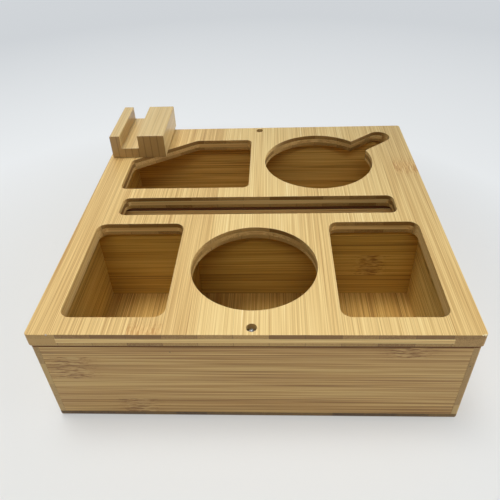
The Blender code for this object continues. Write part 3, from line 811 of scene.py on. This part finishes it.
def phoneHolder():
    h = holder
    left, right = holderLow[0], holderHigh[0]
    low, high = holderLow[2], holderHigh[2]
    slotLeft = left + h["wall"]
    slotRight = slotLeft + h["slot"]
    floor = low + h["slotFloor"]
    corners = [
        (left, low), (right, low), (right, high), (slotRight, high), (slotRight, floor),
        (slotLeft, floor), (slotLeft, high), (left, high),
    ]
    slot = [h["slotArris"], h["slotInner"], h["slotInner"], h["slotArris"]]
    radii = [h["cornerRadius"]] * 3 + slot + [h["cornerRadius"]]
    # the section is drawn in X and Z and carried along Y, so a height there is a distance forward
    section = rounded(corners, radii, h["cornerSteps"])
    profile = edgeProfile(-holderHigh[1], -holderLow[1], h["endArris"], h["endArris"])
    points, faces = board(section, profile)
    points = points[:, [0, 2, 1]] * (1, -1, 1)

    # the underside, which gets the insert's hole, is the quad after the first corner's arc, in the
    # straight row. It runs clockwise as seen from above.
    underside = (len(profile) // 2 - 1) * len(section) + h["cornerSteps"]
    around = np.array(faces.pop(underside)[::-1])
    insertLow, insertHigh = inMm("holder_insert")
    radius = (insertHigh[0] - insertLow[0]) / 2 + joint["seam"]
    hole = ring(pivot[:2], radius, steps=64)
    lip = np.column_stack([hole, np.full(len(hole), low)])
    end = np.column_stack([hole, np.full(len(hole), insertHigh[2] + h["holeSpare"])])
    lipIndex = len(points) + np.arange(len(hole))
    faces += flatFace([points[around], lip], [around, lipIndex], False).tolist()
    faces += gridFaces(2, len(hole), len(points), outward=False).tolist()
    faces.append((lipIndex + len(hole))[::-1].tolist())
    points = np.vstack([points, lip, end])
    makePiece("holder", points, faces, holderLook, "phone_holder", "holder_channel")


phoneHolder()
print("holder made")


# Screws, washers and the insert

fixings = {
    "headRows": 10,  # lines of a head's square grid from the recess's arms out to the rim
    # shares of the head's radius, and the depth as a share of its height
    "recessReach": 0.72, "recessHalfWidth": 0.19, "recessWall": 0.05, "recessDepth": 0.7,
    "recessSlope": 0.3,  # how much of that depth the recess has lost at the head's edge
    "headSide": 0.3,  # straight part of a pan head's side, as a share of its height
    "plateScrewSeat": 2.2,  # how far the plate screws' seats lie below the tops of their solids
    "headHeight": 3.2,  # a tall domed head
    # a core is the thread's inner radius as a share of the outer one
    "wood": {"shank": 1.75, "pitch": 1.7, "core": 0.66, "threaded": 17.0, "point": 5.0},
    "machine": {"shank": 2.5, "pitch": 0.8, "core": 0.85, "threaded": 14.0, "point": 0.0},
    "threadRows": 8,  # rings of points to a turn of a screw's thread
    "screwSlope": 3.2,  # how steep the thread's sides are
    "bore": 2.8,  # the washers and the insert over the pivot screw
    "insertPitch": 2.2, "insertCore": 0.88, "insertSlope": 3.0,
    "insertLead": 0.35, "insertPlain": 0.4, "insertRows": 28,
    "washerEdge": 0.12, "washerSteps": 72,
    "washerGap": math.radians(14),  # the spring washer's split
}


def crossHead(radius, height):
    # a square grid bent to a disc, x = u sqrt(1 - v v / 2) and y the other way round. It rises as a
    # dome, side + (height - side) sqrt(1 - r r), less the recess, a cross of two arms that goes down
    # by height depth (1 - slope sqrt(u u + v v))
    f = fixings
    halfWidth, reach, wall = f["recessHalfWidth"], f["recessReach"], f["recessWall"]
    outwards = np.linspace(halfWidth + wall, 1, f["headRows"])
    line = np.sort([0.0, halfWidth, *outwards, reach, reach + wall])
    line = np.concatenate([-line[:0:-1], line])
    u, v = np.meshgrid(line, line, indexing="xy")
    x, y = u * np.sqrt(1 - v * v / 2), v * np.sqrt(1 - u * u / 2)
    side = height * f["headSide"]
    dome = side + (height - side) * np.sqrt(np.clip(1 - (x * x + y * y), 0, 1))

    def inside(place, edge):
        # 1 up to the recess's edge, then down to 0 over its sloping wall
        return np.clip((edge + wall - np.abs(place)) / wall, 0, 1)

    arms = [np.minimum(inside(a, halfWidth), inside(b, reach)) for a, b in ((u, v), (v, u))]
    cross = np.maximum(*arms)
    z = dome - cross * height * f["recessDepth"] * (1 - f["recessSlope"] * np.hypot(u, v))
    count = len(line)
    number = np.arange(count * count).reshape(count, count)
    around = [number[:-1, :-1], number[:-1, 1:], number[1:, 1:], number[1:, :-1]]
    quads = np.stack(around, axis=-1).reshape(-1, 4)
    rim = np.concatenate([number[0, :-1], number[:-1, -1], number[-1, :0:-1], number[:0:-1, 0]])
    return np.stack([x * radius, y * radius, z], axis=-1).reshape(-1, 3), quads, rim


def thread(height, angle, pitch, core, slope):
    # the radius as a share of the crest's, core + (1 - core) (1 - slope |w - 0.5|), where w is the
    # sawtooth of (height / pitch - angle / turn) and the last bracket stays between 0 and 1
    wave = (height / pitch - angle / (2 * math.pi)) % 1
    return core + (1 - core) * np.clip(1 - np.abs(wave - 0.5) * slope, 0, 1)


def screw(headRadius, length, shank, pitch, core, threaded, point):
    # the head, then rings down to the tip. The thread begins just under a plain ring, and over the
    # point the radius shrinks evenly, almost to nothing.
    points, faces, rim = crossHead(headRadius, fixings["headHeight"])
    points[rim, 2] = fixings["headHeight"] * fixings["headSide"]
    angle = np.arctan2(points[rim, 1], points[rim, 0])
    rows = int(threaded / pitch * fixings["threadRows"])
    start = threaded - length
    down = np.concatenate([[0, 0, start + 0.01], np.linspace(start, -length, rows)])
    wide = np.full(len(down), shank)
    wide[0] = headRadius
    down = down[:, None]
    cut = thread(down, angle, pitch, core, fixings["screwSlope"])
    taper = np.clip((down + length) / point, 0, 1) if point else 1.0
    radius = np.maximum(wide[:, None] * np.where(down <= start, cut, 1.0) * taper, 0.02)
    level = np.broadcast_to(down, radius.shape)
    rings = np.stack([radius * np.cos(angle), radius * np.sin(angle), level], axis=-1)
    total = len(points)
    points = np.vstack([points, rings.reshape(-1, 3), [[0, 0, -length]]])
    count = len(rim)
    index = np.vstack([rim, total + np.arange(rings.shape[0] * count).reshape(-1, count)])
    after = np.roll(index, -1, axis=1)
    walls = np.stack([index[:-1], index[1:], after[1:], after[:-1]], axis=-1).reshape(-1, 4)
    tip = [(a, len(points) - 1, b) for a, b in zip(index[-1], after[-1])]
    return points, faces.tolist() + walls.tolist() + tip


def turned(profile, steps, start=0.0, end=2 * math.pi, swell=None):
    # a closed profile of (radius, height), clockwise, carried round the axis. An open turn gets its
    # two ends closed. swell changes the radii by angle and height.
    profile = np.asarray(profile, float)
    closed = end - start >= 2 * math.pi - 1e-9
    angle = np.linspace(start, end, steps + 1)[:steps if closed else None]
    radius = np.broadcast_to(profile[:, 0], (len(angle), len(profile))).copy()
    height = np.broadcast_to(profile[:, 1], radius.shape)
    if swell:
        radius *= swell(angle[:, None], height, profile[:, 0])
    x, y = radius * np.cos(angle)[:, None], radius * np.sin(angle)[:, None]
    points = np.stack([x, y, height], axis=-1).reshape(-1, 3)
    columns = len(profile)
    faces = gridFaces(len(angle), columns)
    if closed:
        last = gridFaces(2, columns)
        first = (len(angle) - 1) * columns
        faces = np.vstack([faces, np.where(last >= columns, last - columns, last + first)])
        return points, faces.tolist()
    ends = [list(range(columns))[::-1], list(range(len(points) - columns, len(points)))]
    return points, faces.tolist() + ends


def placeFixings():
    f = fixings
    for node in ("plate_screw_front", "plate_screw_back"):
        low, high = inMm(node)
        seat = high[2] - f["plateScrewSeat"]
        points, faces = screw((high[0] - low[0]) / 2, seat - low[2], **f["wood"])
        points += ((low + high) / 2 * (1, 1, 0)) + (0, 0, seat)
        makePiece(f"{node}_threaded", points, faces, steelLook, "tray", node)

    # the pivot screw stands on its head
    low, high = inMm("pivot_screw")
    seat = low[2] + f["headHeight"]
    points, faces = screw((high[0] - low[0]) / 2, high[2] - seat, **f["machine"])
    points = points * (1, -1, -1) + (pivot[0], pivot[1], seat)
    makePiece(
        "pivot_machine_screw", points, faces, steelLook, "phone_holder", "pivot_screw",
    )

    middle = (pivot[0], pivot[1], 0)
    for name, body, gap in (
        ("flat_washer", "tray", 0.0), ("spring_washer", "phone_holder", f["washerGap"]),
    ):
        low, high = inMm(f"pivot_{name}")
        corners = rectangle(f["bore"], low[2], (high[1] - low[1]) / 2, high[2])
        profile = rounded(corners, f["washerEdge"], steps=3)[::-1]
        points, faces = turned(profile, f["washerSteps"], gap / 2, 2 * math.pi - gap / 2)
        makePiece(name, points + middle, faces, steelLook, body, f"pivot_{name}")

    low, high = inMm("holder_insert")
    radius = (high[0] - low[0]) / 2
    lead = radius - f["insertLead"]
    levels = np.linspace(low[2] + f["insertPlain"], high[2] - f["insertPlain"], f["insertRows"])
    outside = [(lead, low[2]), *[(radius, level) for level in levels], (lead, high[2])]
    profile = [(f["bore"], high[2]), (f["bore"], low[2]), *outside][::-1]

    def coarseThread(angle, height, radii):
        # the thread on the outside, and the bore and both leads plain
        cut = thread(height, angle, f["insertPitch"], f["insertCore"], f["insertSlope"])
        return np.where(radii == radius, cut, 1.0)

    points, faces = turned(profile, steps=64, swell=coarseThread)
    points += middle
    makePiece(
        "threaded_insert", points, faces, brassLook, "phone_holder", "holder_insert",
    )


placeFixings()
print("fixings made")


# Floor, light and camera

studio = {
    "groundReach": 30.0,  # metres, as are all places and sizes here
    "groundLevel": -0.0002,
    "groundColour": "#E3E3E0",
    "groundRoughness": 0.9,
    "glowCentre": (-0.06, -0.06, 0.0),
    # what the camera sees of the ground's own glow: (distance from that centre, colour, share)
    "groundGlow": (
        (0.2, "#E6E6E5", 0.45), (0.42, "#EBEEF0", 0.92), (1.0, "#D1D5D9", 0.97),
        (1.4, "#D1D5D9", 1.0), (6.0, "#E6ECEE", 1.0),
    ),
    # place, aim, size, spread in degrees, power in watts
    "panels": {
        # a softbox with a grid, so that the light falls off to the back
        "lamp": ((-0.5, -0.38, 1.2), (-0.33, -0.53, 0.0), (1.6, 1.6), 37.0, 5.5),
        # a low white panel on the right, which lights upright faces
        "fill": ((1.3, -0.1, 0.22), (0.0, 0.05, 0.08), (1.2, 0.3), 70.0, 1.55),
        # a small light over the camera: sharp shadows under the plate
        "front": ((-0.05, -1.3, 1.43), (0.0, 0.0, 0.05), (1.7, 0.15), 50.0, 0.75),
    },
    "skyColour": "#E6ECEE",
    "skyStrength": 0.25,
}


def seen(add):
    # 1 for what the camera sees straight on, in gloss or through glass, and 0 for the light itself
    path = add("LightPath").outputs
    other = add("Math ADD", path["Is Glossy Ray"], path["Is Transmission Ray"])
    return add("Math MAXIMUM", path["Is Camera Ray"], other)


def ground():
    # Matt paper sweep. To the camera half of it glows, so that it stays pale and keeps a soft shadow.
    reach = studio["groundReach"]
    mesh = bpy.data.meshes.new("studio_ground")
    corners = [(x, y, studio["groundLevel"]) for x, y in rectangle(-reach, -reach, reach, reach)]
    mesh.from_pydata(corners, [], [(0, 1, 2, 3)])
    made = bpy.data.objects.new("studio_ground", mesh)
    bpy.context.scene.collection.objects.link(made)
    look, add, shader = startMaterial("matt white paper")
    feed(shader, {"Base Color": srgb(studio["groundColour"]), "Roughness": studio["groundRoughness"]})
    texture = add("TexCoord")
    away = add("VectorMath DISTANCE", texture.outputs["Object"], studio["glowCentre"])
    widest = studio["groundGlow"][-1][0]
    away = add("Math DIVIDE", away.outputs["Value"], widest)
    glow = add("ValToRGB", away)
    stops = glow.color_ramp.elements
    for index, (at, shade, share) in enumerate(studio["groundGlow"]):
        stop = stops[index] if index < 2 else stops.new(at / widest)
        stop.position, stop.color = at / widest, srgb(shade)[:3] + [share]
    share = add("Math MULTIPLY", seen(add), glow.outputs["Alpha"])
    glow = add("Emission", {"Color": glow.outputs["Color"]})
    mixed = add("MixShader", share, shader, glow)
    feed(look.node_tree.get_output_node("ALL"), {"Surface": mixed})
    mesh.materials.append(look)


def light():
    world = bpy.data.worlds.new("studio")
    world.use_nodes = True
    world.node_tree.nodes.clear()
    bpy.context.scene.world = world
    add = partial(addNode, world.node_tree)
    strength = add("MapRange", {0: seen(add), 3: studio["skyStrength"], 4: 1.0})
    sky = add("Background", {"Color": srgb(studio["skyColour"]), "Strength": strength})
    add("OutputWorld", {"Surface": sky})
    for name, (place, aim, size, spread, power) in studio["panels"].items():
        lamp = bpy.data.lights.new(f"{name}_panel", "AREA")
        lamp.shape = "RECTANGLE"
        lamp.size, lamp.size_y = size
        lamp.spread = math.radians(spread)
        lamp.energy = power
        panel = bpy.data.objects.new(f"{name}_panel", lamp)
        turn = (Vector(aim) - Vector(place)).to_track_quat("-Z", "Y").to_matrix().to_4x4()
        panel.matrix_world = Matrix.Translation(place) @ turn
        panel.visible_camera = False
        bpy.context.scene.collection.objects.link(panel)


camera = {
    "place": (0.01553, -0.37520, 0.34301),  # metres
    "right": (0.99880, 0.03340, -0.03510),
    "forward": (-0.04766, 0.77823, -0.62617),
    "lens": 37.37,  # millimetres, as is the sensor
    "sensor": 36.0,
    "nearest": 0.01,
}


def cameraView():
    lens = bpy.data.cameras.new("camera")
    lens.lens = camera["lens"]
    lens.sensor_width = camera["sensor"]
    lens.clip_start = camera["nearest"]
    made = bpy.data.objects.new("camera", lens)
    forward = Vector(camera["forward"]).normalized()
    right = Vector(camera["right"])
    right = (right - forward * forward.dot(right)).normalized()
    up = right.cross(forward)
    turn = Matrix((right, up, -forward)).transposed()
    made.matrix_world = Matrix.Translation(camera["place"]) @ turn.to_4x4()
    bpy.context.scene.collection.objects.link(made)
    bpy.context.scene.camera = made


ground()
light()
cameraView()
bpy.context.scene.view_settings.view_transform = "Standard"
print("stage set")
